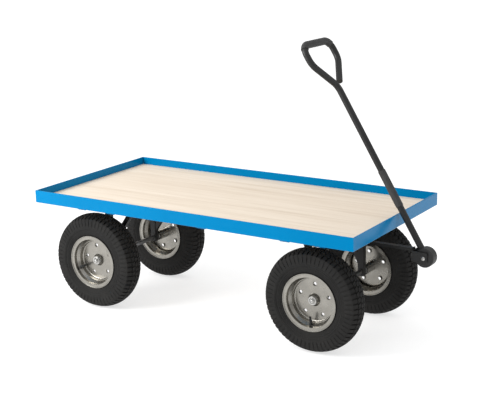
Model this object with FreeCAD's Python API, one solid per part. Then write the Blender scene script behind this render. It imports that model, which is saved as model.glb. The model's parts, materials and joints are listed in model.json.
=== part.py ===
import FreeCAD, Part
import math
import os

from FreeCAD import Vector

# Turntable platform trolley: a rimmed plywood deck on four pneumatic wheels, steered by a
# drawbar handle. Millimetres. +X runs towards the handle, +Y to the left, +Z up from the floor.

# ---------------------------------------------------------------- deck
deck_length = 1500.0
deck_width = 750.0
deck_above_wheels = 52.0
rim_height = 53.0
rim_wall = 5.0
ledge_width = 40.0
rim_edge_radius = 1.5
rim_fold_radius = 4.0
board_thickness = 15.0
board_edge_gap = 1.0

crossmember_width = 40.0
crossmember_height = 20.0
crossmember_wall = 2.0

screw_shank_radius = 2.4
screw_hole_radius = 2.8
screw_head_radius = 5.0
screw_head_height = 3.0
screw_depth_in_board = 11.0
screws_per_side_rail = 5
screws_per_end_rail = 2

# How far a cutting solid runs on past the face it cuts.
cut_past = 1.0

# ---------------------------------------------------------------- wheels
wheel_radius = 205.0
wheel_track = 483.0
tyre_half_width = 50.0
tyre_shoulder_half_width = 45.0
tyre_shoulder_drop = 15.0
tyre_shoulder_break = 2.0
tyre_wall = 8.0
tread_thickness = 14.0
bead_width = 12.0
bead_clearance = 0.1
bead_above_flange = 1.0

rim_seat_radius = 101.6
rim_seat_half_width = 41.0
rim_seat_taper = 1.0
rim_flange_height = 12.9
rim_flange_bend = 4.0
rim_lip_reach = 5.0
rim_sheet = 2.5
rim_well_depth = 9.6
rim_well_half_width = 16.0
rim_well_bend = 1.5

disc_sheet = 3.0
disc_bend_radius = 8.0
disc_skirt = 14.0
disc_hole_count = 5
disc_hole_radius = 7.0
disc_hole_inset = 28.0
disc_hole_mouth = 1.5
disc_collar_radius = 10.0
disc_collar_height = 6.0
disc_collar_taper = 1.0

hub_wall = 7.0
hub_boss = 4.0
hub_nose = 3.0
hub_nose_swell = 3.6
hub_outboard = 16.0
hub_end_play = 0.5
hub_relief = 2.0
bearing_wall = 5.0
bearing_length = 17.0
bearing_recess = 0.5
bearing_running_clearance = 0.05

valve_base_radius = 7.0
valve_root = 4.0
valve_base_gap = 1.5
valve_stem_radius = 5.0
valve_cap_radius = 4.2
valve_base_length = 8.0
valve_stem_length = 14.0
valve_cap_length = 11.0
valve_hole_clearance = 0.2
valve_hole_reach = 10.0
valve_lean_outboard = 0.25

# Each wheel has stopped at its own turn: the angle of its valve from +X towards +Z, in degrees.
valve_angles = {
    "rear_left": 5.0,
    "rear_right": -154.0,
    "front_left": 60.0,
    "front_right": -92.0,
}

# ---------------------------------------------------------------- axles and undercarriage
axle_radius = 10.0
axle_stub = 2.0
axle_chamfer = 1.0
rear_axle_inset = 216.0
front_axle_inset = 232.0
washer_brim = 6.5
washer_thickness = 2.0
washer_bore_clearance = 0.1
axle_cap_wall = 2.5
axle_cap_brim = 1.2
axle_cap_crown_inset = 3.5
axle_cap_height = 7.0

leg_wall = 2.0
leg_beside_axle = 2.5
leg_clear_of_tyre = 20.5
leg_below_axle = 18.0
brace_width = 20.0
brace_wall = 2.0
brace_foot_height = 30.0
brace_bore_past = 30.0
rear_brace_run = 150.0

# ---------------------------------------------------------------- turntable
upper_plate_thickness = 6.0
lower_plate_length = 150.0
lower_plate_overhang = 2.5
lower_plate_thickness = 8.0
ring_outer_radius = 95.0
ring_width = 15.0
ring_height = 20.0
ring_gap = 2.0
ball_radius = 5.0
ball_count = 24
race_clearance = 0.3
king_bolt_radius = 8.0
king_bolt_clearance = 0.05
king_bolt_hole_radius = 8.5
king_hex_across_flats = 24.0
king_head_height = 10.0
king_nut_height = 13.0
king_nut_gap = 0.3
king_bolt_overrun = 3.0

# ---------------------------------------------------------------- drawbar and clevis
drawbar_width = 20.0
drawbar_height = 12.0
drawbar_start = 20.0
clevis_clear_of_knuckle = 6.5
clevis_front_reach = 16.0
clevis_height = 40.0
clevis_rise = 3.0
clevis_plate = 5.0
clevis_corner_radius = 6.0
pivot_overhang = 116.0
pivot_below_plate = 30.0
pivot_pin_radius = 6.0
pivot_running_clearance = 0.05
pivot_head_radius = 7.5
pivot_head_height = 3.5
pivot_head_brim = 1.0
pivot_tail = 5.0
pivot_tail_chamfer = 1.0
pivot_clip_radius = 9.5
pivot_clip_thickness = 1.5
pivot_clip_gap = 0.5

# ---------------------------------------------------------------- handle
handle_rest_gap = 7.4
knuckle_radius = 38.0
knuckle_width = 40.0
knuckle_edge_radius = 3.0
knuckle_boss_radius = 13.0
knuckle_boss_height = 2.0
knuckle_side_gap = 0.5
handle_tube_radius = 12.7
handle_tube_wall = 2.5
handle_tube_start = 20.0
grip_distance = 916.0
neck_below_grip = 185.0
shoulder_below_grip = 80.0
loop_end_below_grip = 168.0
loop_half_width = 107.0
loop_end_offset = 31.0
neck_bend_radius = 60.0
shoulder_bend_radius = 60.0
grip_bend_radius = 40.0
sleeve_start = 215.0
sleeve_length = 152.0
sleeve_wall = 2.0
grip_wall = 2.0
grip_wrap_angle = 55.0
plug_head = 3.0
plug_depth = 15.0

# ---------------------------------------------------------------- places worked out from those
rear_axle_x = rear_axle_inset - deck_length / 2
front_axle_x = deck_length / 2 - front_axle_inset
rim_bottom = 2 * wheel_radius + deck_above_wheels
rim_top = rim_bottom + rim_height
board_bottom = rim_bottom + rim_wall
board_top = board_bottom + board_thickness

crossmember_bottom = board_bottom - crossmember_height
upper_plate_size = 2 * ring_outer_radius
upper_plate_bottom = crossmember_bottom - upper_plate_thickness
upper_ring_bottom = upper_plate_bottom - ring_height
ball_height = upper_ring_bottom - ring_gap / 2
lower_ring_top = upper_ring_bottom - ring_gap
lower_plate_top = lower_ring_top - ring_height
lower_plate_bottom = lower_plate_top - lower_plate_thickness
front_brace_run = lower_plate_length / 2
crossmember_places = [
    rear_axle_x,
    rear_axle_x + rear_brace_run,
    (rear_axle_x + rear_brace_run + front_axle_x) / 2,
    front_axle_x - (upper_plate_size - crossmember_width) / 2,
    front_axle_x + (upper_plate_size - crossmember_width) / 2,
]

rim_flange_radius = rim_seat_radius + rim_flange_height
rim_well_radius = rim_seat_radius - rim_well_depth
disc_hole_pitch_radius = rim_well_radius - disc_hole_inset
bearing_outer_radius = axle_radius + bearing_wall
hub_radius = bearing_outer_radius + hub_wall
hub_boss_radius = hub_radius + hub_boss
hub_nose_radius = bearing_outer_radius + hub_nose
hub_relief_radius = axle_radius + hub_relief

leg_width = 2 * (axle_radius + leg_beside_axle)
leg_outer_face = wheel_track / 2 - tyre_half_width - leg_clear_of_tyre
leg_y = leg_outer_face - leg_width / 2
hub_inner_end = leg_outer_face + washer_thickness + hub_end_play
hub_outer_end = wheel_track / 2 + hub_outboard
outer_washer_start = hub_outer_end + hub_end_play
axle_cap_start = outer_washer_start + washer_thickness
axle_half_length = axle_cap_start + axle_stub
axle_cap_radius = axle_radius + axle_cap_wall
axle_cap_crown_radius = axle_cap_radius - axle_cap_crown_inset
washer_radius = axle_radius + washer_brim

pivot_x = deck_length / 2 + pivot_overhang
pivot_z = lower_plate_bottom - pivot_below_plate
clevis_inner_half = knuckle_width / 2 + knuckle_boss_height + knuckle_side_gap
clevis_outer_half = clevis_inner_half + clevis_plate
clevis_back_reach = knuckle_radius + clevis_clear_of_knuckle + clevis_plate

# The parked handle leans back until it all but rests on the front rail's top edge.
pivot_to_rim = math.hypot(pivot_overhang, rim_top - pivot_z)
angle_to_rim = math.degrees(math.atan2(pivot_overhang, rim_top - pivot_z))
handle_lean = angle_to_rim - math.degrees(math.asin((handle_tube_radius + handle_rest_gap) / pivot_to_rim))
neck_distance = grip_distance - neck_below_grip
shoulder_distance = grip_distance - shoulder_below_grip
loop_end_distance = grip_distance - loop_end_below_grip

# The origin lies on the floor under the middle of the whole trolley, drawbar knuckle included.
origin_x = (pivot_x + knuckle_radius - deck_length / 2) / 2

# Share of a radius by which the middle of a quarter-circle corner stands back from its square corner.
CORNER = 1 - math.sqrt(0.5)
X_AXIS = Vector(1, 0, 0)
Y_AXIS = Vector(0, 1, 0)
Z_AXIS = Vector(0, 0, 1)
ORIGIN = Vector(0, 0, 0)

# Two edges closer than this are at the same place.
TOUCH = 0.01

parts = {}


def box(low, high):
    """Block between two opposite corners."""
    size = Vector(*high) - Vector(*low)
    return Part.makeBox(size.x, size.y, size.z, Vector(*low))


def rod(radius, start, end):
    """Round bar between two points."""
    start = Vector(*start)
    run = Vector(*end) - start
    return Part.makeCylinder(radius, run.Length, start, run)


def closed_face(start, *steps):
    """Flat face inside an outline; a step is the next corner, or (point on the way, end) of an arc."""
    edges = []
    here = start
    for step in steps:
        if isinstance(step, tuple):
            via, end = step
            edges.append(Part.Arc(here, via, end).toShape())
        else:
            end = step
            edges.append(Part.LineSegment(here, end).toShape())
        here = end
    if not here.isEqual(start, 1e-6):
        edges.append(Part.LineSegment(here, start).toShape())
    return Part.Face(Part.Wire(edges))


def turned_about_y(*outline):
    """Ring or disc turned about the Y axis from an outline of (distance along Y, radius) points."""
    corners = [as_section(step) for step in outline]
    return closed_face(*corners).revolve(ORIGIN, Y_AXIS, 360)


def as_section(step):
    """A (y, radius) point, or a pair of them for an arc, as points of the YZ plane."""
    if isinstance(step[0], tuple):
        return tuple(Vector(0, y, radius) for y, radius in step)
    return Vector(0, step[0], step[1])


def dome_point(brim_y, brim_radius, top_y):
    """A point halfway up a spherical dome from its brim to its top on the Y axis."""
    centre = (top_y**2 - brim_y**2 - brim_radius**2) / (2 * (top_y - brim_y))
    half = brim_radius / 2
    reach = math.sqrt((top_y - centre) ** 2 - half**2)
    return centre + math.copysign(reach, top_y - brim_y), half


def moved(shape, x=0.0, y=0.0, z=0.0):
    """A copy of a shape, shifted."""
    copy = shape.copy()
    copy.translate(Vector(x, y, z))
    return copy


def hexagon(across_flats, height, base):
    """Hexagonal prism standing on a base point."""
    corner = across_flats / math.sqrt(3)
    points = []
    for step in range(7):
        angle = math.radians(60 * step)
        points.append(base + Vector(corner * math.cos(angle), corner * math.sin(angle), 0))
    return Part.Face(Part.makePolygon(points)).extrude(Z_AXIS * height)


# ================================================================ deck
def rail(length):
    """Angle rail along X with 45 degree mitred ends; its outer face is the plane y = 0."""
    edge = rim_edge_radius
    fold = rim_fold_radius
    section = closed_face(
        Vector(0, 0, fold),
        Vector(0, 0, rim_height - edge),
        (
            Vector(0, edge * CORNER, rim_height - edge * CORNER),
            Vector(0, edge, rim_height),
        ),
        Vector(0, rim_wall - edge, rim_height),
        (
            Vector(0, rim_wall - edge * CORNER, rim_height - edge * CORNER),
            Vector(0, rim_wall, rim_height - edge),
        ),
        Vector(0, rim_wall, rim_wall),
        Vector(0, ledge_width, rim_wall),
        Vector(0, ledge_width, 0),
        Vector(0, fold, 0),
        (
            Vector(0, fold * CORNER, fold * CORNER),
            Vector(0, 0, fold),
        ),
    )
    section.translate(X_AXIS * (-length / 2))
    bar = section.extrude(X_AXIS * length)
    for end in (-1, 1):
        reach = end * (length / 2)
        beyond = reach + end * cut_past
        corner = [
            Vector(reach, 0, -cut_past),
            Vector(reach - end * 2 * ledge_width, 2 * ledge_width, -cut_past),
            Vector(beyond, 2 * ledge_width, -cut_past),
            Vector(beyond, 0, -cut_past),
            Vector(reach, 0, -cut_past),
        ]
        wedge = Part.Face(Part.makePolygon(corner)).extrude(Z_AXIS * (rim_height + 2 * cut_past))
        bar = bar.cut(wedge)
    return bar


def ledge_screw_places():
    """Where the screws pass up through the ledges, as (rail name, x, y)."""
    inset = (rim_wall + ledge_width) / 2
    places = []
    for side, name in ((1, "side_rail_left"), (-1, "side_rail_right")):
        for step in range(screws_per_side_rail):
            share = (step + 0.5) / screws_per_side_rail - 0.5
            places.append((name, share * deck_length, side * (deck_width / 2 - inset)))
    for side, name in ((1, "end_rail_front"), (-1, "end_rail_rear")):
        for step in range(screws_per_end_rail):
            share = (step + 0.5) / screws_per_end_rail - 0.5
            places.append((name, side * (deck_length / 2 - inset), share * deck_width))
    return places


def build_rails():
    """Four rails round the board, each turned so that its outer face looks outwards."""
    placing = {
        "side_rail_right": (deck_length, 0, deck_width),
        "end_rail_front": (deck_width, 90, deck_length),
        "side_rail_left": (deck_length, 180, deck_width),
        "end_rail_rear": (deck_width, 270, deck_length),
    }
    for name, (length, turn, across) in placing.items():
        bar = moved(rail(length), y=-across / 2, z=rim_bottom)
        bar.rotate(ORIGIN, Z_AXIS, turn)
        for owner, x, y in ledge_screw_places():
            if owner == name:
                low = (x, y, rim_bottom - cut_past)
                bar = bar.cut(rod(screw_hole_radius, low, (x, y, board_bottom + cut_past)))
        parts[name] = bar


def build_board():
    """The plywood board and the screws that hold it down from below."""
    half_length = deck_length / 2 - rim_wall - board_edge_gap
    half_width = deck_width / 2 - rim_wall - board_edge_gap
    board = box((-half_length, -half_width, board_bottom), (half_length, half_width, board_top))
    screws = []
    pilots = []
    tip = board_bottom + screw_depth_in_board
    for _, x, y in ledge_screw_places():
        seat = rim_bottom
        head = rod(screw_head_radius, (x, y, seat - screw_head_height), (x, y, seat))
        shank = rod(screw_shank_radius, (x, y, seat), (x, y, tip))
        screws.append(head.fuse(shank))
        pilots.append(rod(screw_shank_radius, (x, y, board_bottom - cut_past), (x, y, tip)))
    parts["plywood_deck"] = board.cut(Part.Compound(pilots))
    parts["deck_screws"] = Part.Compound(screws)


def build_crossmembers():
    """Flat rectangular tubes between the side ledges."""
    half_width = deck_width / 2 - ledge_width
    wall = crossmember_wall
    for number, x in enumerate(crossmember_places, start=1):
        low = (x - crossmember_width / 2, -half_width, crossmember_bottom)
        high = (x + crossmember_width / 2, half_width, board_bottom)
        hollow = box(
            (low[0] + wall, low[1] - cut_past, low[2] + wall),
            (high[0] - wall, high[1] + cut_past, high[2] - wall),
        )
        parts[f"crossmember_{number}"] = box(low, high).cut(hollow)


# ================================================================ undercarriages
def leg(x, y, top):
    """Square tube leg, cross-bored for the axle."""
    half = leg_width / 2
    inner = half - leg_wall
    bottom = wheel_radius - leg_below_axle
    tube = box((x - half, y - half, bottom), (x + half, y + half, top))
    low = (x - inner, y - inner, bottom - cut_past)
    tube = tube.cut(box(low, (x + inner, y + inner, top + cut_past)))
    return tube.cut(rod(axle_radius, (x, y - leg_width, wheel_radius), (x, y + leg_width, wheel_radius)))


def brace(x, y, run, side, top):
    """Slanted square tube from a leg's face up to what the leg hangs from, on one side of it."""
    foot = wheel_radius + brace_foot_height
    rise = top - foot
    slope = math.atan2(rise, run)
    across = brace_width / 2
    outer = slanted_bar(x, y, foot, top, slope, side, brace_width, across, 0)
    bore = brace_width - 2 * brace_wall
    inner = slanted_bar(x, y, foot, top, slope, side, bore, across - brace_wall, brace_bore_past)
    return outer.cut(inner)


def slanted_bar(x, y, foot, top, slope, side, depth, half_width, overrun):
    """Bar of one depth with an upright foot and a level top, centred on the brace's line."""
    middle_rise = brace_width / math.cos(slope) / 2
    start = x + side * leg_width / 2
    half_depth = depth / math.cos(slope) / 2
    lean = math.tan(slope)
    low_run = -overrun / lean
    high_run = (top + overrun - foot - middle_rise) / lean
    shift = depth / math.sin(slope) / 2
    corners = [
        (low_run, foot + middle_rise - half_depth + low_run * lean),
        (low_run, foot + middle_rise + half_depth + low_run * lean),
        (high_run - shift, top + overrun),
        (high_run + shift, top + overrun),
    ]
    points = [Vector(start + side * along, y - half_width, height) for along, height in corners]
    points.append(points[0])
    return Part.Face(Part.makePolygon(points)).extrude(Y_AXIS * (2 * half_width))


def build_undercarriage(end, x, run, side, top):
    """Legs, braces, axle, washers and end caps of one axle."""
    for name, y in (("left", leg_y), ("right", -leg_y)):
        parts[f"{end}_leg_{name}"] = leg(x, y, top)
    braces = [brace(x, y, run, side, top) for y in (leg_y, -leg_y)]
    parts[f"{end}_braces"] = Part.Compound(braces)

    half = axle_half_length
    bar = turned_about_y(
        (-half, 0),
        (-half, axle_radius - axle_chamfer),
        (-half + axle_chamfer, axle_radius),
        (half - axle_chamfer, axle_radius),
        (half, axle_radius - axle_chamfer),
        (half, 0),
    )
    parts[f"{end}_axle"] = moved(bar, x, 0, wheel_radius)

    washers = []
    caps = []
    bore = axle_radius + washer_bore_clearance
    washer = turned_about_y(
        (0, bore),
        (0, washer_radius),
        (washer_thickness, washer_radius),
        (washer_thickness, bore),
    )
    brim_end = axle_stub + axle_cap_brim
    cap = turned_about_y(
        (0, axle_radius),
        (0, axle_cap_radius),
        (brim_end, axle_cap_radius),
        (brim_end, axle_cap_crown_radius),
        (dome_point(brim_end, axle_cap_crown_radius, axle_cap_height), (axle_cap_height, 0)),
        (axle_stub, 0),
        (axle_stub, axle_radius),
    )
    for turn in (0, 180):
        for start in (leg_outer_face, outer_washer_start):
            piece = moved(washer, x, start, wheel_radius)
            piece.rotate(Vector(x, 0, 0), Z_AXIS, turn)
            washers.append(piece)
        piece = moved(cap, x, axle_cap_start, wheel_radius)
        piece.rotate(Vector(x, 0, 0), Z_AXIS, turn)
        caps.append(piece)
    parts[f"{end}_axle_washers"] = Part.Compound(washers)
    parts[f"{end}_axle_caps"] = Part.Compound(caps)


# ================================================================ turntable
def ring(bottom, race_radius):
    """Turntable ring with a ball race cut into the face that looks at the balls."""
    pitch = ring_outer_radius - ring_width / 2
    base = Vector(front_axle_x, 0, bottom)
    body = Part.makeCylinder(ring_outer_radius, ring_height, base)
    body = body.cut(Part.makeCylinder(ring_outer_radius - ring_width, ring_height, base))
    return body.cut(Part.makeTorus(pitch, race_radius, Vector(front_axle_x, 0, ball_height)))


def build_turntable():
    """Upper half fixed under the deck, lower half that steers, and the balls between them."""
    x = front_axle_x
    half = upper_plate_size / 2
    bolt_hole = rod(
        king_bolt_hole_radius,
        (x, 0, upper_plate_bottom - cut_past),
        (x, 0, crossmember_bottom + cut_past),
    )
    upper = box((x - half, -half, upper_plate_bottom), (x + half, half, crossmember_bottom))
    parts["turntable_upper_plate"] = upper.cut(bolt_hole)
    parts["turntable_upper_ring"] = ring(upper_ring_bottom, ball_radius + race_clearance)
    parts["turntable_lower_ring"] = ring(lower_plate_top, ball_radius)

    pitch = ring_outer_radius - ring_width / 2
    balls = []
    for step in range(ball_count):
        angle = 2 * math.pi * step / ball_count
        place = Vector(x + pitch * math.cos(angle), pitch * math.sin(angle), ball_height)
        balls.append(Part.makeSphere(ball_radius, place))
    parts["turntable_balls"] = Part.Compound(balls)

    half_length = lower_plate_length / 2
    half_width = leg_outer_face + lower_plate_overhang
    lower = box(
        (x - half_length, -half_width, lower_plate_bottom),
        (x + half_length, half_width, lower_plate_top),
    )
    turning_hole = king_bolt_radius + king_bolt_clearance
    parts["turntable_lower_plate"] = lower.cut(
        rod(turning_hole, (x, 0, lower_plate_bottom - cut_past), (x, 0, lower_plate_top + cut_past))
    )

    nut_top = lower_plate_bottom - king_nut_gap
    nut_bottom = nut_top - king_nut_height
    head = hexagon(king_hex_across_flats, king_head_height, Vector(x, 0, crossmember_bottom))
    shank = rod(king_bolt_radius, (x, 0, nut_bottom - king_bolt_overrun), (x, 0, crossmember_bottom))
    parts["king_bolt"] = head.fuse(shank)
    nut = hexagon(king_hex_across_flats, king_nut_height, Vector(x, 0, nut_bottom))
    thread = rod(king_bolt_radius, (x, 0, nut_bottom - cut_past), (x, 0, nut_top + cut_past))
    parts["king_nut"] = nut.cut(thread)


# ================================================================ drawbar
def build_drawbar():
    """Drawbar under the steering plate, the clevis on its end, and the pivot pin."""
    clevis_back = pivot_x - clevis_back_reach
    clevis_front = pivot_x + clevis_front_reach
    low = (front_axle_x + drawbar_start, -drawbar_width / 2, lower_plate_bottom - drawbar_height)
    high = (clevis_back, drawbar_width / 2, lower_plate_bottom)
    parts["drawbar"] = box(low, high)

    bottom = pivot_z + clevis_rise - clevis_height / 2
    strap = box(
        (clevis_back, -clevis_outer_half, bottom),
        (clevis_front, clevis_outer_half, bottom + clevis_height),
    )
    back_edges = [
        edge
        for edge in strap.Edges
        if abs(edge.CenterOfMass.x - clevis_back) < TOUCH
        and abs(abs(edge.CenterOfMass.y) - clevis_outer_half) < TOUCH
    ]
    strap = strap.makeFillet(clevis_corner_radius, back_edges)
    gap = box(
        (clevis_back + clevis_plate, -clevis_inner_half, bottom - cut_past),
        (clevis_front + cut_past, clevis_inner_half, bottom + clevis_height + cut_past),
    )
    strap = strap.cut(gap)
    front_edges = [
        edge
        for edge in strap.Edges
        if abs(edge.CenterOfMass.x - clevis_front) < TOUCH
        and abs(edge.CenterOfMass.z - pivot_z - clevis_rise) > clevis_height / 2 - TOUCH
    ]
    strap = strap.makeFillet(clevis_corner_radius, front_edges)
    wide = clevis_outer_half + cut_past
    parts["drawbar_clevis"] = strap.cut(
        rod(pivot_pin_radius, (pivot_x, -wide, pivot_z), (pivot_x, wide, pivot_z))
    )

    clip_start = clevis_outer_half + pivot_clip_gap
    tail = clip_start + pivot_clip_thickness + pivot_tail
    head_top = -clevis_outer_half - pivot_head_height
    head_brim = -clevis_outer_half - pivot_head_brim
    pin = turned_about_y(
        (head_top, 0),
        (dome_point(head_brim, pivot_head_radius, head_top), (head_brim, pivot_head_radius)),
        (-clevis_outer_half, pivot_head_radius),
        (-clevis_outer_half, pivot_pin_radius),
        (tail - pivot_tail_chamfer, pivot_pin_radius),
        (tail, pivot_pin_radius - pivot_tail_chamfer),
        (tail, 0),
    )
    parts["pivot_pin"] = moved(pin, pivot_x, 0, pivot_z)
    clip = turned_about_y(
        (clip_start, pivot_pin_radius),
        (clip_start, pivot_clip_radius),
        (clip_start + pivot_clip_thickness, pivot_clip_radius),
        (clip_start + pivot_clip_thickness, pivot_pin_radius),
    )
    parts["pivot_clip"] = moved(clip, pivot_x, 0, pivot_z)


# ================================================================ handle
# Handle pieces are made upright over the pivot, the loop in the YZ plane, then leaned back.
def leaned(shape):
    """A handle piece turned back to its parked lean and put on the pivot."""
    copy = shape.copy()
    copy.rotate(ORIGIN, Y_AXIS, -handle_lean)
    copy.translate(Vector(pivot_x, 0, pivot_z))
    return copy


def bend_points(before, corner, after, radius):
    """Start, middle and end of the arc that rounds a corner of a path."""
    back = (before - corner).normalize()
    ahead = (after - corner).normalize()
    half_angle = back.getAngle(ahead) / 2
    tangent = radius / math.tan(half_angle)
    inward = (back + ahead).normalize()
    centre = corner + inward * (radius / math.sin(half_angle))
    return corner + back * tangent, centre - inward * radius, corner + ahead * tangent


def rounded_path(points, radii):
    """Straight runs through the points, with an arc of its own radius at each inner one."""
    edges = []
    here = points[0]
    for number, radius in enumerate(radii, start=1):
        start, middle, end = bend_points(points[number - 1], points[number], points[number + 1], radius)
        edges.append(Part.LineSegment(here, start).toShape())
        edges.append(Part.Arc(start, middle, end).toShape())
        here = end
    edges.append(Part.LineSegment(here, points[-1]).toShape())
    return Part.Wire(edges)


def piped(path, start, direction, radius):
    """Solid round bar that follows a path."""
    section = Part.Wire([Part.makeCircle(radius, start, direction)])
    return path.makePipeShell([section], True, True)


def loop_points():
    """Corners of the handle tube's centre line, from the knuckle round the loop to its free end."""
    return [
        Vector(0, 0, handle_tube_start),
        Vector(0, 0, neck_distance),
        Vector(0, -loop_half_width, shoulder_distance),
        Vector(0, -loop_half_width, grip_distance),
        Vector(0, loop_half_width, grip_distance),
        Vector(0, loop_half_width, shoulder_distance),
        Vector(0, loop_end_offset, loop_end_distance),
    ]


def build_handle():
    """Knuckle, bent tube, grip, bumper sleeve and end plug."""
    half = knuckle_width / 2
    edge = knuckle_edge_radius
    boss = half + knuckle_boss_height
    bore = pivot_pin_radius + pivot_running_clearance
    knuckle = turned_about_y(
        (-boss, bore),
        (-boss, knuckle_boss_radius),
        (-half, knuckle_boss_radius),
        (-half, knuckle_radius - edge),
        ((-half + edge * CORNER, knuckle_radius - edge * CORNER), (-half + edge, knuckle_radius)),
        (half - edge, knuckle_radius),
        ((half - edge * CORNER, knuckle_radius - edge * CORNER), (half, knuckle_radius - edge)),
        (half, knuckle_boss_radius),
        (boss, knuckle_boss_radius),
        (boss, bore),
    )
    socket = rod(handle_tube_radius, (0, 0, handle_tube_start), (0, 0, 2 * knuckle_radius))
    parts["handle_knuckle"] = leaned(knuckle.cut(socket))

    points = loop_points()
    radii = [
        neck_bend_radius,
        shoulder_bend_radius,
        grip_bend_radius,
        grip_bend_radius,
        shoulder_bend_radius,
    ]
    path = rounded_path(points, radii)
    bar = piped(path, points[0], Z_AXIS, handle_tube_radius)
    bore = piped(path, points[0], Z_AXIS, handle_tube_radius - handle_tube_wall)
    parts["handle_tube"] = leaned(bar.cut(bore))

    sleeve_end = sleeve_start + sleeve_length
    sleeve = rod(handle_tube_radius + sleeve_wall, (0, 0, sleeve_start), (0, 0, sleeve_end))
    tube_hole = rod(handle_tube_radius, (0, 0, sleeve_start - cut_past), (0, 0, sleeve_end + cut_past))
    parts["bumper_sleeve"] = leaned(sleeve.cut(tube_hole))

    parts["hand_grip"] = leaned(grip_solid(grip_wall).cut(grip_solid(0)))

    outward = (points[-1] - points[-2]).normalize()
    end = points[-1]
    insert = rod(handle_tube_radius - handle_tube_wall, end - outward * plug_depth, end)
    cap = rod(handle_tube_radius, end, end + outward * plug_head)
    parts["handle_end_plug"] = leaned(insert.fuse(cap))


def grip_solid(thickness):
    """Bar along the loop's cross part and part of the way round both of its bends."""
    bend_y = loop_half_width - grip_bend_radius
    bend_z = grip_distance - grip_bend_radius

    def on_bend(side, degrees):
        angle = math.radians(degrees)
        sideways = bend_y + grip_bend_radius * math.sin(angle)
        return Vector(0, side * sideways, bend_z + grip_bend_radius * math.cos(angle))

    half_wrap = grip_wrap_angle / 2
    path = Part.Wire(
        [
            Part.Arc(on_bend(-1, grip_wrap_angle), on_bend(-1, half_wrap), on_bend(-1, 0)).toShape(),
            Part.LineSegment(on_bend(-1, 0), on_bend(1, 0)).toShape(),
            Part.Arc(on_bend(1, 0), on_bend(1, half_wrap), on_bend(1, grip_wrap_angle)).toShape(),
        ]
    )
    angle = math.radians(grip_wrap_angle)
    along = Vector(0, math.cos(angle), math.sin(angle))
    return piped(path, on_bend(-1, grip_wrap_angle), along, handle_tube_radius + thickness)


# ================================================================ wheels
# A wheel is made about the Y axis with its outboard side towards +Y and its valve along +X.
def tyre():
    """Pneumatic tyre: an open ring section from bead to bead."""
    side = tyre_half_width
    shoulder = tyre_shoulder_half_width
    shoulder_radius = wheel_radius - tyre_shoulder_drop
    heel = rim_seat_radius + bead_clearance
    toe = heel - rim_seat_taper
    heel_y = rim_seat_half_width - bead_clearance
    toe_y = heel_y - bead_width
    above_flange = rim_flange_radius + bead_above_flange
    belly = (above_flange + shoulder_radius) / 2
    inner_crown = wheel_radius - tread_thickness
    inner_shoulder = shoulder_radius - tread_thickness
    inner_side = side - tyre_wall
    break_y = shoulder + tyre_shoulder_break
    break_radius = shoulder_radius - 2 * tyre_shoulder_break
    return turned_about_y(
        (-toe_y, toe),
        (-heel_y, heel),
        (-heel_y, above_flange),
        ((-side, belly), (-break_y, break_radius)),
        (-shoulder, shoulder_radius),
        ((0, wheel_radius), (shoulder, shoulder_radius)),
        (break_y, break_radius),
        ((side, belly), (heel_y, above_flange)),
        (heel_y, heel),
        (toe_y, toe),
        (toe_y, above_flange),
        ((inner_side, belly), (shoulder - tyre_wall, inner_shoulder)),
        ((0, inner_crown), (-shoulder + tyre_wall, inner_shoulder)),
        ((-inner_side, belly), (-toe_y, above_flange)),
    )


def rim():
    """Well-base barrel with the pressed dish welded inside it, one piece."""
    seat_y = rim_seat_half_width
    seat_end = seat_y - bead_width - bead_above_flange
    well_y = rim_well_half_width
    lip_y = seat_y + rim_lip_reach
    sheet = rim_sheet
    seat = rim_seat_radius
    seat_low = seat - rim_seat_taper
    well = rim_well_radius
    top = rim_flange_radius
    curl = rim_flange_bend
    bend = rim_well_bend
    barrel = turned_about_y(
        (-lip_y, top),
        (-seat_y - curl, top),
        ((-seat_y - curl * CORNER, top - curl * CORNER), (-seat_y, top - curl)),
        (-seat_y, seat),
        (-seat_end, seat_low),
        (-well_y, well),
        (well_y, well),
        (seat_end, seat_low),
        (seat_y, seat),
        (seat_y, top - curl),
        ((seat_y + curl * CORNER, top - curl * CORNER), (seat_y + curl, top)),
        (lip_y, top),
        (lip_y, top - sheet),
        (seat_y + curl, top - sheet),
        (seat_y + sheet, top - curl),
        (seat_y + sheet, seat - sheet),
        (seat_end + bend, seat_low - sheet),
        (well_y + bend, well - sheet),
        (-well_y - bend, well - sheet),
        (-seat_end - bend, seat_low - sheet),
        (-seat_y - sheet, seat - sheet),
        (-seat_y - sheet, top - curl),
        (-seat_y - curl, top - sheet),
        (-lip_y, top - sheet),
    )
    half = disc_sheet / 2
    bend = disc_bend_radius
    edge = well - sheet
    bend_y = bend - half
    inner_bend = bend - disc_sheet
    disc = turned_about_y(
        (half, hub_radius),
        (-half, hub_radius),
        (-half, edge - bend),
        ((bend_y - bend * (1 - CORNER), edge - bend * CORNER), (bend_y, edge)),
        (disc_skirt, edge),
        (disc_skirt, edge - disc_sheet),
        (bend_y, edge - disc_sheet),
        (
            (bend_y - inner_bend * (1 - CORNER), edge - bend + inner_bend * (1 - CORNER)),
            (half, edge - bend),
        ),
    )
    collars = []
    holes = []
    for number in range(disc_hole_count):
        angle = 2 * math.pi * (number + 0.5) / disc_hole_count
        x = disc_hole_pitch_radius * math.cos(angle)
        z = disc_hole_pitch_radius * math.sin(angle)
        narrow = disc_collar_radius - disc_collar_taper
        back = Vector(x, -half, z)
        front = Vector(x, half, z)
        wide = disc_hole_radius + disc_hole_mouth
        collars.append(Part.makeCone(disc_collar_radius, narrow, disc_collar_height, back, -Y_AXIS))
        holes.append(Part.makeCone(wide, disc_hole_radius, disc_hole_mouth, front, -Y_AXIS))
        holes.append(rod(disc_hole_radius, (x, -disc_skirt, z), (x, disc_skirt, z)))
    return barrel.fuse([disc] + collars).cut(Part.Compound(holes + [valve_hole()]))


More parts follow.
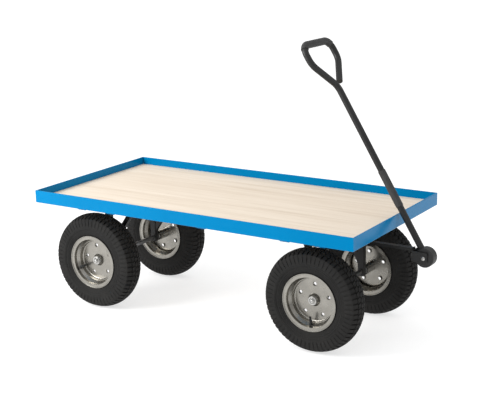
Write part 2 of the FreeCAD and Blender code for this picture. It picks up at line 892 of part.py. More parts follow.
def valve_line():
    """Where the valve leaves the barrel and which way it points: inwards and a little outboard."""
    slope_end = rim_seat_half_width - bead_width - bead_above_flange
    mid_wall_y = (rim_well_half_width + slope_end) / 2
    mid_wall_radius = (rim_well_radius + rim_seat_radius - rim_seat_taper) / 2
    base = Vector(mid_wall_radius, mid_wall_y, 0)
    return base, Vector(-1, valve_lean_outboard, 0).normalize()


def valve_hole():
    """Hole for the valve stem, through the slope of the barrel."""
    base, inward = valve_line()
    reach = inward * valve_hole_reach
    return rod(valve_stem_radius + valve_hole_clearance, base - reach, base + reach)


def valve(barrel):
    """Rubber valve stem with its shoulder moulded to the barrel, and the screwed cap on its end."""
    base, inward = valve_line()
    shoulder = base + inward * (rim_sheet + valve_base_gap)
    stem_end = shoulder + inward * (valve_base_length + valve_stem_length)
    root = rod(valve_stem_radius, base - inward * valve_root, stem_end)
    cone = Part.makeCone(valve_base_radius, valve_stem_radius, valve_base_length, shoulder, inward)
    cap = rod(valve_cap_radius, stem_end, stem_end + inward * valve_cap_length)
    pieces = root.fuse(cone).cut(barrel).Solids
    stem = max(pieces, key=lambda piece: piece.Volume)
    return Part.Compound([stem, cap])


def hub():
    """Hub tube through the disc, with a tapered nose outboard and a seat for a bearing at each end."""
    half = disc_sheet / 2
    inner = hub_inner_end - wheel_track / 2
    seat = bearing_length + 2 * bearing_recess
    swell = (hub_outboard * 2 / 3, hub_nose_radius + hub_nose_swell)
    return turned_about_y(
        (inner, bearing_outer_radius),
        (inner, hub_radius),
        (half, hub_radius),
        (half, hub_boss_radius),
        (swell, (hub_outboard, hub_nose_radius)),
        (hub_outboard, bearing_outer_radius),
        (hub_outboard - seat, bearing_outer_radius),
        (hub_outboard - seat, hub_relief_radius),
        (inner + seat, hub_relief_radius),
        (inner + seat, bearing_outer_radius),
    )


def bearings():
    """The two plain bearings pressed into the hub."""
    inner = hub_inner_end - wheel_track / 2
    bore = axle_radius + bearing_running_clearance
    rings = []
    for start in (inner + bearing_recess, hub_outboard - bearing_recess - bearing_length):
        end = start + bearing_length
        rings.append(
            turned_about_y(
                (start, bore),
                (start, bearing_outer_radius),
                (end, bearing_outer_radius),
                (end, bore),
            )
        )
    return Part.Compound(rings)


def build_wheels():
    """Four wheels, the right-hand ones turned about so that their outboard sides look right."""
    rim_piece = rim()
    pieces = {
        "tyre": tyre(),
        "rim": rim_piece,
        "hub": hub(),
        "bearings": bearings(),
        "valve": valve(rim_piece),
    }
    for place, angle in valve_angles.items():
        end, side = place.split("_")
        x = front_axle_x if end == "front" else rear_axle_x
        for name, piece in pieces.items():
            copy = piece.copy()
            if side == "right":
                copy.rotate(ORIGIN, Z_AXIS, 180)
                copy.rotate(ORIGIN, Y_AXIS, 180 - angle)
                y = -wheel_track / 2
            else:
                copy.rotate(ORIGIN, Y_AXIS, -angle)
                y = wheel_track / 2
            parts[f"{place}_{name}"] = moved(copy, x, y, wheel_radius)


# ================================================================ whole trolley
build_rails()
build_board()
build_crossmembers()
build_undercarriage("rear", rear_axle_x, rear_brace_run, 1, crossmember_bottom)
build_undercarriage("front", front_axle_x, front_brace_run, -1, lower_plate_bottom)
build_turntable()
build_drawbar()
build_handle()
build_wheels()

os.makedirs("parts", exist_ok=True)
for node, shape in parts.items():
    moved(shape, x=-origin_x).exportStep(f"parts/{node}.step")
print(f"{len(parts)} nodes")
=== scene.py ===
import json
import math
import random

import bmesh
import bpy
from mathutils import Matrix, Vector


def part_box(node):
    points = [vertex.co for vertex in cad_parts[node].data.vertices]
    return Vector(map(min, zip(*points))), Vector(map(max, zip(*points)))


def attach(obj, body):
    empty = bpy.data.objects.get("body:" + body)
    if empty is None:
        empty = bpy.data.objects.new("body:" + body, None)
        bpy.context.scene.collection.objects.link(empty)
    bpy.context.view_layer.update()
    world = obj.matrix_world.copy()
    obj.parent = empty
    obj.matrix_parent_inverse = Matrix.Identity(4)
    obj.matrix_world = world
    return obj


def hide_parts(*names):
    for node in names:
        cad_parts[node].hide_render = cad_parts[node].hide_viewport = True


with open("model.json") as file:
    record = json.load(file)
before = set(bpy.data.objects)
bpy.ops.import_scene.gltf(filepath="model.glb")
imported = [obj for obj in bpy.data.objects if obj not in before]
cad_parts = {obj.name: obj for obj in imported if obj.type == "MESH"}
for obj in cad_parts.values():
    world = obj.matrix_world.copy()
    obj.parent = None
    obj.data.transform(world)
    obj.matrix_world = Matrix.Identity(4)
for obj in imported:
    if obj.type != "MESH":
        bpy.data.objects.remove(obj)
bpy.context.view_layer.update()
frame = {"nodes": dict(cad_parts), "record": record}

TAU = 2 * math.pi
WHEELS = ("rear_left", "rear_right", "front_left", "front_right")

# ---------------------------------------------------------------- places read from the frame
rail_low, rail_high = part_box("side_rail_right")
DECK_MIDDLE = Vector(((rail_low.x + rail_high.x) / 2, 0, 0))


def middle(node):
    """Middle of a CAD node's box."""
    low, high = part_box(node)
    return (low + high) / 2


# ================================================================ shader building
class Shader:
    """A procedural material, with short calls for the nodes it is made of."""

    def __init__(self, name, **sockets):
        self.material = bpy.data.materials.new(name)
        self.material.use_nodes = True
        self.nodes = self.material.node_tree.nodes
        self.links = self.material.node_tree.links
        self.surface = self.nodes["Principled BSDF"]
        self.coords = self.nodes.new("ShaderNodeTexCoord").outputs["Object"]
        for key, value in sockets.items():
            self.surface.inputs[key.replace("_", " ").title().replace("Ior", "IOR")].default_value = value

    def node(self, kind, settings=None, **inputs):
        """A node with its settings and inputs; an input that is a socket is linked."""
        made = self.nodes.new("ShaderNode" + kind)
        for key, value in (settings or {}).items():
            setattr(made, key, value)
        for key, value in inputs.items():
            socket = made.inputs[int(key[1:])] if key[1:].isdigit() else made.inputs[key.replace("_", " ")]
            if isinstance(value, bpy.types.NodeSocket):
                self.links.new(value, socket)
            else:
                socket.default_value = value
        return made

    def stretched(self, scale, turn=(0, 0, 0)):
        """Object coordinates scaled by a different amount along each axis."""
        return self.node("Mapping", Vector=self.coords, Scale=scale, Rotation=turn).outputs["Vector"]

    def noise(self, scale, detail=3.0, roughness=0.5, coords=None, distortion=0.0):
        """Noise from 0 to 1."""
        made = self.node(
            "TexNoise",
            Vector=coords or self.coords,
            Scale=scale,
            Detail=detail,
            Roughness=roughness,
            Distortion=distortion,
        )
        return made.outputs["Fac"]

    def ramp(self, value, *stops):
        """Colour ramp; each stop is (position, grey or colour)."""
        made = self.node("ValToRGB", Fac=value)
        elements = made.color_ramp.elements
        while len(elements) < len(stops):
            elements.new(0.5)
        for element, (position, colour) in zip(elements, stops):
            element.position = position
            element.color = (colour, colour, colour, 1) if isinstance(colour, float) else (*colour, 1)
        return made.outputs["Color"]

    def spread(self, value, low, high):
        """A 0 to 1 value brought to another range."""
        made = self.node("MapRange", Value=value)
        made.inputs["To Min"].default_value = low
        made.inputs["To Max"].default_value = high
        return made.outputs["Result"]

    def mix(self, amount, first, second):
        """Mix of two colours."""
        made = self.node("Mix", {"data_type": "RGBA"})
        for socket, value in ((0, amount), (6, first), (7, second)):
            if isinstance(value, bpy.types.NodeSocket):
                self.links.new(value, made.inputs[socket])
            elif isinstance(value, (int, float)):
                made.inputs[socket].default_value = value
            else:
                made.inputs[socket].default_value = (*value, 1)
        return made.outputs[2]

    def maths(self, operation, first, second=0.0):
        """One arithmetic step."""
        return self.node("Math", {"operation": operation}, _0=first, _1=second).outputs[0]

    def colour(self, value):
        """Sets what drives the base colour."""
        self.links.new(value, self.surface.inputs["Base Color"])

    def roughness(self, value):
        """Sets what drives the roughness."""
        self.links.new(value, self.surface.inputs["Roughness"])

    def bump(self, height, strength, distance, after=None):
        """Adds a bump; distance is in metres."""
        made = self.node("Bump", Height=height, Strength=strength, Distance=distance)
        if after:
            self.links.new(after, made.inputs["Normal"])
        self.links.new(made.outputs["Normal"], self.surface.inputs["Normal"])
        return made.outputs["Normal"]


def blue_paint():
    """Glossy blue powder coat with orange peel, faint dust and a few rubbed spots."""
    shader = Shader("blue_paint", specular_ior_level=0.22, specular_tint=(0.02, 0.45, 0.85, 1))
    cloud = shader.noise(2.2, 4)
    tone = shader.ramp(cloud, (0.3, (0.0, 0.150, 0.340)), (0.7, (0.0, 0.172, 0.385)))
    rubbed = shader.noise(38, 6, 0.72)
    spots = shader.ramp(rubbed, (0.70, 0.0), (0.76, 1.0))
    shader.colour(shader.mix(shader.maths("MULTIPLY", spots, 0.35), tone, (0.004, 0.125, 0.27)))
    shader.roughness(shader.spread(shader.noise(9, 5, 0.6), 0.14, 0.26))
    peel = shader.noise(420, 2)
    first = shader.bump(peel, 0.12, 0.0003)
    shader.bump(shader.noise(14, 3), 0.05, 0.003, first)
    return shader.material


def plywood():
    """Sanded birch face: long faint grain, veneer strips of slightly different tone, small flecks."""
    shader = Shader("plywood", specular_ior_level=0.25)
    long_grain = shader.noise(1.0, 6, 0.62, shader.stretched((1.6, 42, 42)), 0.6)
    fine_grain = shader.noise(1.0, 4, 0.7, shader.stretched((9, 420, 420)))
    flecks = shader.noise(1.0, 3, 0.6, shader.stretched((42, 260, 260)))
    strips = shader.node("TexWhiteNoise", {"noise_dimensions": "1D"})
    position = shader.node("SeparateXYZ", Vector=shader.coords).outputs["Y"]
    shader.links.new(shader.maths("FLOOR", shader.maths("MULTIPLY", position, 5.3)), strips.inputs["W"])
    base = shader.ramp(
        long_grain,
        (0.28, (0.580, 0.490, 0.390)),
        (0.50, (0.665, 0.580, 0.480)),
        (0.74, (0.715, 0.635, 0.540)),
    )
    toned = shader.mix(shader.spread(strips.outputs["Value"], 0.0, 0.22), base, (0.625, 0.520, 0.415))
    lined = shader.mix(shader.ramp(fine_grain, (0.50, 0.0), (0.72, 0.30)), toned, (0.505, 0.405, 0.312))
    shader.colour(shader.mix(shader.ramp(flecks, (0.66, 0.0), (0.74, 0.45)), lined, (0.45, 0.346, 0.257)))
    shader.roughness(shader.spread(fine_grain, 0.55, 0.78))
    first = shader.bump(fine_grain, 0.25, 0.0004)
    shader.bump(long_grain, 0.12, 0.0008, first)
    return shader.material


def black_paint():
    """Satin black powder coat, finely pebbled, with slow changes of grey."""
    shader = Shader("black_paint", specular_ior_level=0.32)
    tone = 0.013
    cloud = shader.noise(6, 4, 0.6)
    shader.colour(shader.ramp(cloud, (0.32, tone * 0.8), (0.72, tone * 1.35)))
    shader.roughness(shader.spread(shader.noise(24, 5, 0.65), 0.36, 0.56))
    first = shader.bump(shader.noise(950, 2), 0.22, 0.0003)
    shader.bump(shader.noise(60, 3), 0.08, 0.0012, first)
    return shader.material


def tyre_rubber():
    """Moulded black rubber with a dusty bloom."""
    shader = Shader("tyre_rubber", specular_ior_level=0.17)
    bloom = shader.noise(11, 6, 0.66)
    speck = shader.noise(160, 4, 0.7)
    base = shader.ramp(bloom, (0.30, (0.0085, 0.0083, 0.0080)), (0.72, (0.0185, 0.0178, 0.0168)))
    shader.colour(shader.mix(shader.ramp(speck, (0.62, 0.0), (0.80, 0.5)), base, (0.034, 0.032, 0.030)))
    shader.roughness(shader.spread(bloom, 0.62, 0.86))
    first = shader.bump(shader.noise(700, 3, 0.6), 0.30, 0.0004)
    shader.bump(shader.noise(45, 3), 0.10, 0.0015, first)
    return shader.material


def zinc(name, tone, low, high, brushed=False):
    """Zinc plate: warm grey metal with a faint spangle and uneven polish."""
    shader = Shader(name, metallic=1.0)
    cloud = shader.noise(18, 5, 0.6)
    spangle = shader.node("TexVoronoi", {"feature": "F1"}, Vector=shader.coords, Scale=190.0).outputs["Color"]
    grey = shader.node("RGBToBW", Color=spangle).outputs["Val"]
    dark = tuple(channel * 0.84 for channel in tone)
    light = tuple(min(1.0, channel * 1.10) for channel in tone)
    base = shader.ramp(cloud, (0.30, dark), (0.70, light))
    shader.colour(shader.mix(shader.spread(grey, 0.0, 0.08), base, dark))
    shader.roughness(shader.spread(shader.noise(26, 4, 0.6), low, high))
    height = shader.noise(300, 3, 0.6)
    if brushed:
        height = shader.noise(1.0, 3, 0.6, shader.stretched((90, 1400, 90)))
    first = shader.bump(height, 0.014, 0.0001)
    shader.bump(shader.noise(22, 2), 0.03, 0.0006, first)
    return shader.material


def soft_black(name, tone, rough, grain):
    """Black rubber or plastic with a moulded grain."""
    shader = Shader(name, specular_ior_level=0.35)
    cloud = shader.noise(30, 5, 0.62)
    shader.colour(shader.ramp(cloud, (0.30, tone * 0.75), (0.74, tone * 1.5)))
    shader.roughness(shader.spread(cloud, rough - 0.08, rough + 0.12))
    first = shader.bump(shader.noise(grain, 3, 0.6), 0.35, 0.0004)
    shader.bump(shader.noise(90, 2), 0.12, 0.0008, first)
    return shader.material


def nylon():
    """Off-white nylon of the hub bearings."""
    shader = Shader("nylon", specular_ior_level=0.4)
    cloud = shader.noise(60, 4)
    shader.colour(shader.ramp(cloud, (0.3, (0.58, 0.55, 0.47)), (0.7, (0.68, 0.65, 0.57))))
    shader.roughness(shader.spread(cloud, 0.35, 0.5))
    shader.bump(shader.noise(600, 2), 0.2, 0.0003)
    return shader.material


SLOT_MATERIALS = {
    "blue_paint": blue_paint(),
    "plywood": plywood(),
    "black_paint": black_paint(),
    "black_plastic": soft_black("black_plastic", 0.020, 0.5, 520),
    "grip_rubber": soft_black("grip_rubber", 0.030, 0.62, 800),
    "tyre": tyre_rubber(),
    "valve_rubber": soft_black("valve_rubber", 0.012, 0.6, 900),
    "rim_zinc": zinc("rim_zinc", (0.285, 0.273, 0.247), 0.20, 0.36),
    "hub_zinc": zinc("hub_zinc", (0.36, 0.355, 0.34), 0.12, 0.26),
    "zinc": zinc("fastener_zinc", (0.46, 0.455, 0.44), 0.18, 0.34),
    "bright_steel": zinc("bright_steel", (0.36, 0.36, 0.37), 0.24, 0.42, brushed=True),
    "bearing_plastic": nylon(),
}


def paint_cad_nodes():
    """Gives every CAD node the finish of its slot."""
    for entry in frame["record"]["subparts"]:
        piece = frame["nodes"][entry["node"]]
        finish = SLOT_MATERIALS[entry["material_slot"]]
        for place in piece.material_slots:
            place.material = finish
        if not piece.material_slots:
            piece.data.materials.append(finish)


paint_cad_nodes()


# ================================================================ mesh building
def new_piece(name, vertices, faces, slot, sharp_degrees=35):
    """A mesh object with its slot's finish, smooth but for edges sharper than the angle given."""
    mesh = bpy.data.meshes.new(name)
    mesh.from_pydata(vertices, [], faces)
    mesh.validate()
    build = bmesh.new()
    build.from_mesh(mesh)
    bmesh.ops.recalc_face_normals(build, faces=build.faces)
    build.to_mesh(mesh)
    build.free()
    mesh.polygons.foreach_set("use_smooth", [True] * len(mesh.polygons))
    mesh.set_sharp_from_angle(angle=math.radians(sharp_degrees))
    mesh.materials.append(SLOT_MATERIALS[slot])
    piece = bpy.data.objects.new(name, mesh)
    bpy.context.scene.collection.objects.link(piece)
    return piece


def ring_grid(rows, columns):
    """Faces of a closed grid: it wraps round both ways."""
    faces = []
    for column in range(columns):
        beside = (column + 1) % columns
        for row in range(rows):
            above = (row + 1) % rows
            here = column * rows
            there = beside * rows
            faces.append((here + row, there + row, there + above, here + above))
    return faces


def arc_through(first, via, last, steps):
    """Points along the circle through three points of a plane, both ends included."""
    (ax, ay), (bx, by), (cx, cy) = first, via, last
    double = 2 * (ax * (by - cy) + bx * (cy - ay) + cx * (ay - by))
    squares = [x * x + y * y for x, y in (first, via, last)]
    centre_x = (squares[0] * (by - cy) + squares[1] * (cy - ay) + squares[2] * (ay - by)) / double
    centre_y = (squares[0] * (cx - bx) + squares[1] * (ax - cx) + squares[2] * (bx - ax)) / double
    radius = math.hypot(ax - centre_x, ay - centre_y)
    start = math.atan2(ay - centre_y, ax - centre_x)
    turns = []
    for point in (via, last):
        turn = math.atan2(point[1] - centre_y, point[0] - centre_x) - start
        turns.append(turn % TAU)
    sweep = turns[1] if turns[0] < turns[1] else turns[1] - TAU
    points = []
    for step in range(steps + 1):
        angle = start + sweep * step / steps
        points.append((centre_x + radius * math.cos(angle), centre_y + radius * math.sin(angle)))
    return points


# ---------------------------------------------------------------- tyres
# Tyre sizes in metres; across is measured from the tyre's middle plane, up from the axle.
tyre_low, tyre_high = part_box("front_right_tyre")
TYRE_RADIUS = (tyre_high.z - tyre_low.z) / 2
TYRE_HALF_WIDTH = (tyre_high.y - tyre_low.y) / 2
PITCHES = 60
SHOULDER_ACROSS = 0.045
SHOULDER_DROP = 0.015
SHOULDER_BREAK = 0.002
BELLY_INSET = 0.0012
SIDEWALL_STEPS = 76
BEAD_ACROSS = 0.0408
BEAD_TOP = 0.1157
BEAD_SEAT = 0.1019
BEAD_TOE_ACROSS = 0.029
BEAD_TOE_DROP = 0.001
CAVITY_ACROSS = 0.033
CAVITY_CROWN_WALL = 0.014
CAVITY_STEPS = 16
LUG_END = 0.151
RIB_HEIGHT = 0.0014
RIB_HALF_WIDTH = 0.0019
RIB_RADII = (0.1500, 0.1460, 0.1420, 0.1345, 0.1305, 0.1265, 0.1215)
GROOVE_DEPTH = 0.0062

# Across the tread: where the centre row of blocks stops, where the next starts and stops, and where the
# outer row starts; it runs on past the shoulder. Between them are extra points that carry the blocks' curve.
CENTRE_ROW_END = 0.0068
MIDDLE_ROW = (0.0102, 0.0238)
MIDDLE_ROW_BETWEEN = 0.017
OUTER_ROW_START = 0.0274
OUTER_ROW_BETWEEN = (0.0335, 0.0392)
GROOVE_SLOPE = 0.0006
# The blocks lean round the tyre by half a pitch by this reach, then run straight.
LEAN_PITCHES = 0.5
LEAN_REACH = 0.027
# The long grooves weave from side to side, less and less towards the end of the weave.
WEAVE_REACH = 0.03
WEAVE_FADE = 0.006
WEAVE_SIZE = 0.0016
# Cross grooves of the outer row: their depth falls towards the shoulder, then to none by the lugs' ends.
OUTER_GROOVE_LEAST = 0.34
OUTER_GROOVE_FALL = 0.56
OUTER_GROOVE_FADE_REACH = 0.044
OUTER_GROOVE_FADE = 0.008
LUG_FADE = 0.014
# Past the shoulder a groove is cut inwards across the tyre rather than towards the axle.
CUT_TURN = 0.004
CUT_ACROSS = 0.9
CUT_DOWN_LOSS = 0.65
# Turns within one pitch, 0 to 1: where each row's cross groove lies, and the edges of all three.
CENTRE_CUT_WITHIN = 0.09
MIDDLE_CUT = (0.41, 0.59)
OUTER_CUT = (0.11, 0.385)
PHASES = (0.077, 0.101, 0.125, 0.375, 0.399, 0.423, 0.577, 0.601, 0.750, 0.899, 0.923)


def cross_groove(row, phase):
    """True where a row of blocks is cut by its cross groove."""
    if row == "centre":
        return phase < CENTRE_CUT_WITHIN or phase > 1 - CENTRE_CUT_WITHIN
    first, last = MIDDLE_CUT if row == "middle" else OUTER_CUT
    return first < phase < last


def tread_samples():
    """Half the tread from the middle outwards: (across, row of blocks or None for a groove)."""
    return [
        (0.0, "centre"),
        (CENTRE_ROW_END, "centre"),
        (CENTRE_ROW_END + GROOVE_SLOPE, None),
        (MIDDLE_ROW[0] - GROOVE_SLOPE, None),
        (MIDDLE_ROW[0], "middle"),
        (MIDDLE_ROW_BETWEEN, "middle"),
        (MIDDLE_ROW[1], "middle"),
        (MIDDLE_ROW[1] + GROOVE_SLOPE, None),
        (OUTER_ROW_START - GROOVE_SLOPE, None),
        (OUTER_ROW_START, "outer"),
        (OUTER_ROW_BETWEEN[0], "outer"),
        (OUTER_ROW_BETWEEN[1], "outer"),
        (SHOULDER_ACROSS, "outer"),
    ]


def sidewall_samples():
    """Half the outside from shoulder to bead: (across, radius, row of blocks, height of moulded rib)."""
    belly = (BEAD_TOP + TYRE_RADIUS - SHOULDER_DROP) / 2
    shoulder = (SHOULDER_ACROSS + SHOULDER_BREAK, TYRE_RADIUS - SHOULDER_DROP - 2 * SHOULDER_BREAK)
    widest = (TYRE_HALF_WIDTH - BELLY_INSET, belly)
    curve = arc_through(shoulder, widest, (BEAD_ACROSS, BEAD_TOP), SIDEWALL_STEPS)
    samples = []
    for across, radius in curve:
        row = "outer" if radius > LUG_END else "wall"
        lift = 0.0
        for rib in RIB_RADII:
            lift = max(lift, RIB_HEIGHT * max(0.0, 1 - abs(radius - rib) / RIB_HALF_WIDTH))
        samples.append((across, radius, row, lift))
    return samples


def zigzag(turn):
    """Triangle wave from -1 to 1 with one period a pitch."""
    return 1 - 4 * abs((turn % 1.0) - 0.5)


def tread_lean(across):
    """How far round the blocks lean at a distance across the tread, in pitches."""
    side = math.copysign(1, across) if across else 1
    return LEAN_PITCHES * side * min(1.0, abs(across) / LEAN_REACH)


def tyre_vertex(sample, pitch, phase):
    """One point of the tyre's outside."""
    across, radius, row, lift = sample
    side = math.copysign(1, across) if across else 1
    reach = abs(across)
    turn = (pitch + phase + tread_lean(across)) / PITCHES
    depth = 0.0
    if row is None:
        depth = GROOVE_DEPTH
    elif row != "wall" and cross_groove(row, phase):
        depth = GROOVE_DEPTH
        if row == "outer":
            fade = max(0.0, min(1.0, (OUTER_GROOVE_FADE_REACH - reach) / OUTER_GROOVE_FADE))
            depth *= OUTER_GROOVE_LEAST + OUTER_GROOVE_FALL * fade
            depth *= max(0.0, min(1.0, (radius - LUG_END) / LUG_FADE))
    if row != "wall" and reach < WEAVE_REACH:
        across += WEAVE_SIZE * zigzag(phase) * min(1.0, (WEAVE_REACH - reach) / WEAVE_FADE)
    inward = 0.0 if reach <= SHOULDER_ACROSS else min(1.0, (reach - SHOULDER_ACROSS) / CUT_TURN)
    across -= side * depth * inward * CUT_ACROSS
    radius -= depth * (1 - inward * CUT_DOWN_LOSS)
    across += side * lift
    angle = TAU * turn
    return (radius * math.cos(angle), across, radius * math.sin(angle))


def tyre_mesh():
    """The whole tyre about its own Y axis, as one closed mesh."""
    half = [(across, TYRE_RADIUS - SHOULDER_DROP * (across / SHOULDER_ACROSS) ** 2, row, 0.0)
            for across, row in tread_samples()]
    wall = sidewall_samples()
    right = half + wall
    left = [(-across, radius, row, lift) for across, radius, row, lift in right[1:]]
    crown = (0, TYRE_RADIUS - CAVITY_CROWN_WALL)
    inside = arc_through((-CAVITY_ACROSS, BEAD_TOP), crown, (CAVITY_ACROSS, BEAD_TOP), CAVITY_STEPS)
    closing = [(-BEAD_ACROSS, BEAD_SEAT), (-BEAD_TOE_ACROSS, BEAD_SEAT - BEAD_TOE_DROP)]
    closing += inside
    closing += [(BEAD_TOE_ACROSS, BEAD_SEAT - BEAD_TOE_DROP), (BEAD_ACROSS, BEAD_SEAT)]
    outside = list(reversed(right)) + left
    vertices = []
    for pitch in range(PITCHES):
        for phase in PHASES:
            for sample in outside:
                vertices.append(tyre_vertex(sample, pitch, phase))
            for across, radius in closing:
                angle = TAU * (pitch + phase + tread_lean(across)) / PITCHES
                vertices.append((radius * math.cos(angle), across, radius * math.sin(angle)))
    rows = len(outside) + len(closing)
    return vertices, ring_grid(rows, PITCHES * len(PHASES))


def place_on_wheel(piece, place):
    """Puts a piece made about its own Y axis, outboard side +Y, on a wheel, and makes it ride."""
    hub = middle(f"{place}_tyre")
    turn = Matrix.Rotation(math.pi if place.endswith("right") else 0, 4, "Z")
    piece.matrix_world = Matrix.Translation(hub) @ turn
    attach(piece, f"{place}_wheel")


def build_tyres():
    """Four tyres from one mesh, each stopped at its own turn."""
    vertices, faces = tyre_mesh()
    first = new_piece("tyre_shape", vertices, faces, "tyre", 28)
    for number, place in enumerate(WHEELS):
        piece = first if number == 0 else bpy.data.objects.new("tyre_copy", first.data)
        piece.name = f"{place}_tyre_moulded"
        if number:
            bpy.context.scene.collection.objects.link(piece)
        place_on_wheel(piece, place)
        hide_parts(f"{place}_tyre")


build_tyres()


# ---------------------------------------------------------------- axle caps
# Section of a stepped push-on cap, from its brim to its middle: (outboard of its brim's back, radius).
CAP_SECTION = [
    (0.0000, 0.0124),
    (0.0012, 0.0125),
    (0.0020, 0.0119),
    (0.0013, 0.0110),
    (0.0014, 0.0103),
    (0.0044, 0.0097),
    (0.0052, 0.0089),
    (0.0050, 0.0081),
    (0.0036, 0.0073),
    (0.0035, 0.0060),
    (0.0052, 0.0052),
    (0.0066, 0.0036),
    (0.0070, 0.0016),
]
CAP_STEPS = 64


def turned(section, steps):
    """A section of (along Y, radius) turned about the Y axis and closed flat at both ends."""
    count = len(section)
    vertices = []
    for step in range(steps):
        angle = TAU * step / steps
        for along, radius in section:
            vertices.append((radius * math.cos(angle), along, radius * math.sin(angle)))
    faces = []
    for step in range(steps):
        here = step * count
        there = (step + 1) % steps * count
        for number in range(count - 1):
            faces.append((here + number, here + number + 1, there + number + 1, there + number))
    faces.append(tuple(step * count for step in range(steps)))
    faces.append(tuple((steps - 1 - step) * count + count - 1 for step in range(steps)))
    return vertices, faces


def build_axle_caps():
    """Stepped push-on caps on the axle ends."""
    vertices, faces = turned(CAP_SECTION, CAP_STEPS)
    for end, body in (("rear", "deck"), ("front", "front_carriage")):
        centre = middle(f"{end}_axle_caps")
        brim_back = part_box(f"{end}_axle_caps")[1].y - CAP_SECTION[-1][0]
        for side, turn in (("left", 0), ("right", math.pi)):
            piece = new_piece(f"{end}_{side}_axle_cap", vertices, faces, "zinc", 40)
            place = Vector((centre.x, brim_back if side == "left" else -brim_back, centre.z))
            piece.matrix_world = Matrix.Translation(place) @ Matrix.Rotation(turn, 4, "Z")
            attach(piece, body)
            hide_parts(f"{end}_axle_caps")


build_axle_caps()

# ---------------------------------------------------------------- weld beads
WELD_STEP = 0.0013
WELD_RIPPLE = 0.0042
WELD_RIPPLE_SIZE = 0.16
WELD_WANDER = 0.05
WELD_END_TAPER = 0.45
WELD_SIDES = 10
WELD_SINK = 0.0008
LEG_WELD_RADIUS = 0.0026
DRAWBAR_WELD_RADIUS = 0.0024
DRAWBAR_END_WELD_RADIUS = 0.0022
DRAWBAR_WELD_START = 0.004
DRAWBAR_WELD_STOP = 0.003
# A direction that no weld runs along, to square the bead's section to.
OFF_AXIS = Vector((0.31, 0.17, 0.93))


def stations(corners, closed):
    """Points a weld step apart along straight runs between corners, each with its run's direction."""
    ends = corners[1:] + corners[:1] if closed else corners[1:]
    made = []
    for start, end in zip(corners, ends):
        run = Vector(end) - Vector(start)
        count = max(2, round(run.length / WELD_STEP))
        for step in range(count):
            made.append((Vector(start) + run * step / count, run.normalized()))
    if not closed:
        made.append((Vector(corners[-1]), made[-1][1]))
    return made


def weld_bead(name, corners, radius, body, closed=True):
    """A run of weld along a joint, rippled as the puddles overlapped."""
    around = WELD_SIDES
    places = stations(corners, closed)
    wander = random.Random(name)
    vertices = []
    for number, (place, along) in enumerate(places):
        before = places[number - 1][1] if closed or number else along
        forward = (along + before).normalized()
        across = forward.cross(OFF_AXIS).normalized()
        upward = forward.cross(across)
        ripple = 1 + WELD_RIPPLE_SIZE * math.sin(TAU * number * WELD_STEP / WELD_RIPPLE)
        ripple += wander.uniform(-WELD_WANDER, WELD_WANDER)
        if not closed and number in (0, len(places) - 1):
            ripple *= WELD_END_TAPER
        for step in range(around):
            angle = TAU * step / around
            vertices.append(place + (across * math.cos(angle) + upward * math.sin(angle)) * radius * ripple)
    faces = []
    spans = len(places) if closed else len(places) - 1
    for number in range(spans):
        here = number * around
        there = (number + 1) % len(places) * around
        for step in range(around):
            beside = (step + 1) % around
            faces.append((here + step, here + beside, there + beside, there + step))
    if not closed:
        faces.append(tuple(range(around)))
        faces.append(tuple((len(places) - 1) * around + step for step in range(around)))
    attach(new_piece(name, vertices, faces, "black_paint", 60), body)


def build_welds():
    """Fillet welds round the leg tops, beside the drawbar under its plate and round its end."""
    for end, body in (("rear", "deck"), ("front", "front_carriage")):
        for side in ("left", "right"):
            low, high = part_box(f"{end}_leg_{side}")
            corners = [(low.x, low.y), (high.x, low.y), (high.x, high.y), (low.x, high.y)]
            path = [(x, y, high.z - WELD_SINK) for x, y in corners]
            weld_bead(f"weld_{end}_leg_{side}", path, LEG_WELD_RADIUS, body)
    low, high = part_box("drawbar")
    start = low.x + DRAWBAR_WELD_START
    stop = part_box("turntable_lower_plate")[1].x - DRAWBAR_WELD_STOP
    for side, y in (("left", high.y), ("right", low.y)):
        path = [(start, y, high.z - WELD_SINK), (stop, y, high.z - WELD_SINK)]
        weld_bead(f"weld_drawbar_{side}", path, DRAWBAR_WELD_RADIUS, "front_carriage", closed=False)
    corners = [(low.y, low.z), (high.y, low.z), (high.y, high.z), (low.y, high.z)]
    path = [(high.x - WELD_SINK, y, z) for y, z in corners]
    weld_bead("weld_drawbar_end", path, DRAWBAR_END_WELD_RADIUS, "front_carriage")


build_welds()


# ================================================================ camera, lights and floor
CAMERA_FROM_DECK = Vector((2.5035, -3.8378, 1.6541))
CAMERA_HEADING = 32.7446
CAMERA_DOWN = 14.4009
CAMERA_ROLL = -1.169
LENS = 85.4128
SENSOR_WIDTH = 36.0


def build_camera():
    """Camera off the front right corner, looking down a little; angles in degrees, lens in mm."""
    data = bpy.data.cameras.new("camera")
    data.lens = LENS
    data.sensor_width = SENSOR_WIDTH
    camera = bpy.data.objects.new("camera", data)
    bpy.context.scene.collection.objects.link(camera)
    heading = Matrix.Rotation(math.radians(CAMERA_HEADING), 4, "Z")
    tilt = Matrix.Rotation(math.radians(90 - CAMERA_DOWN), 4, "X")
    roll = Matrix.Rotation(math.radians(CAMERA_ROLL), 4, "Z")
    place = DECK_MIDDLE + CAMERA_FROM_DECK
    camera.matrix_world = Matrix.Translation(place) @ heading @ tilt @ roll
    bpy.context.scene.camera = camera


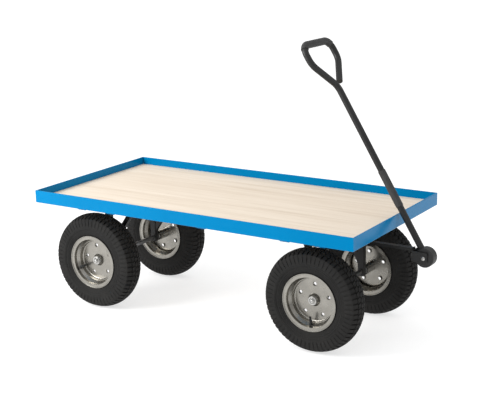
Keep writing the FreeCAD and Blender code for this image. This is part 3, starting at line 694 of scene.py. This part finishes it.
def area_light(name, place, aim, width, height, power):
    """Rectangular soft white light pointing at a place."""
    data = bpy.data.lights.new(name, "AREA")
    data.shape = "RECTANGLE"
    data.size = width
    data.size_y = height
    data.energy = power
    light = bpy.data.objects.new(name, data)
    bpy.context.scene.collection.objects.link(light)
    light.location = place
    light.rotation_mode = "QUATERNION"
    light.rotation_quaternion = (Vector(aim) - Vector(place)).to_track_quat("-Z", "Y")


def build_floor():
    """Plain pale floor, wide enough to fill every view."""
    half = 60
    corners = [(-half, -half, 0), (half, -half, 0), (half, half, 0), (-half, half, 0)]
    mesh = bpy.data.meshes.new("floor")
    mesh.from_pydata(corners, [], [(0, 1, 2, 3)])
    floor = bpy.data.objects.new("floor", mesh)
    bpy.context.scene.collection.objects.link(floor)
    finish = bpy.data.materials.new("floor_white")
    finish.use_nodes = True
    surface = finish.node_tree.nodes["Principled BSDF"]
    surface.inputs["Base Color"].default_value = (0.50, 0.50, 0.50, 1)
    surface.inputs["Emission Color"].default_value = (1, 1, 1, 1)
    surface.inputs["Emission Strength"].default_value = 0.64
    surface.inputs["Roughness"].default_value = 0.9
    surface.inputs["Specular IOR Level"].default_value = 0.1
    mesh.materials.append(finish)


def build_studio():
    """Soft room, bright overhead and dim towards the horizon, with a key light and a front card."""
    world = bpy.data.worlds.new("studio")
    world.use_nodes = True
    nodes = world.node_tree.nodes
    links = world.node_tree.links
    direction = nodes.new("ShaderNodeTexCoord").outputs["Generated"]
    height = nodes.new("ShaderNodeSeparateXYZ")
    links.new(direction, height.inputs["Vector"])
    brightness = nodes.new("ShaderNodeMapRange")
    links.new(height.outputs["Z"], brightness.inputs["Value"])
    for socket, value in (("From Min", 0.05), ("From Max", 0.75), ("To Min", 0.34), ("To Max", 1.10)):
        brightness.inputs[socket].default_value = value
    links.new(brightness.outputs["Result"], nodes["Background"].inputs["Strength"])
    nodes["Background"].inputs["Color"].default_value = (1, 1, 1, 1)
    bpy.context.scene.world = world
    aim = (0, 0, 0.4)
    area_light("key", (-1.9, -2.5, 1.9), aim, 1.6, 1.6, 125)
    area_light("front_card", (5.0, 2.0, 1.8), aim, 2.5, 3.0, 20)
    bpy.context.scene.view_settings.view_transform = "Standard"


build_camera()
build_floor()
build_studio()
